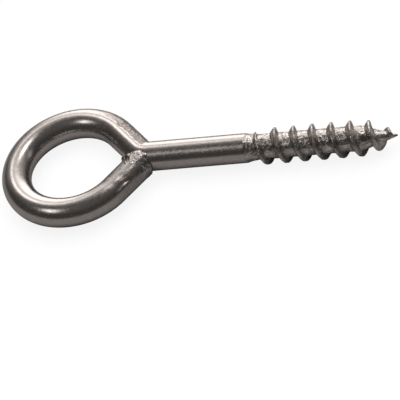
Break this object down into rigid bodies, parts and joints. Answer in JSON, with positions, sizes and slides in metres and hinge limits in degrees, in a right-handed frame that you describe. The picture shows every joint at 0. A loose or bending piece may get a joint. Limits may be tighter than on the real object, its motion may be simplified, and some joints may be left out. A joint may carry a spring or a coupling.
{
  "type": "eye bolt",
  "caption": "Screw-in eye bolt: round steel rod bent into a closed, welded eye, with a plain shank, a right-hand wood-screw thread and a gimlet point.",
  "frame": {"origin": "centre of the eye, in the plane of the eye", "axes": "+X along the screw axis towards the point, +Y towards the arm that flows into the shank, +Z square to the plane of the eye"},
  "size_m": [0.11, 0.0396, 0.0098],
  "materials": {
    "rod_steel": "bright plated steel, smooth and glossy",
    "thread_steel": "rolled plated steel, pitted and rough",
    "weld_steel": "plated weld metal, rippled and uneven"
  },
  "bodies": {
    "root": {"eye_ring": "rod_steel", "far_arm": "rod_steel", "neck_bend": "rod_steel", "near_arm": "rod_steel", "weld_top": "weld_steel", "weld_underside": "weld_steel", "shank": "rod_steel", "thread_runout": "thread_steel", "thread_core": "thread_steel", "thread_ridge": "thread_steel", "gimlet_point": "thread_steel"}
  },
  "joints": []
}
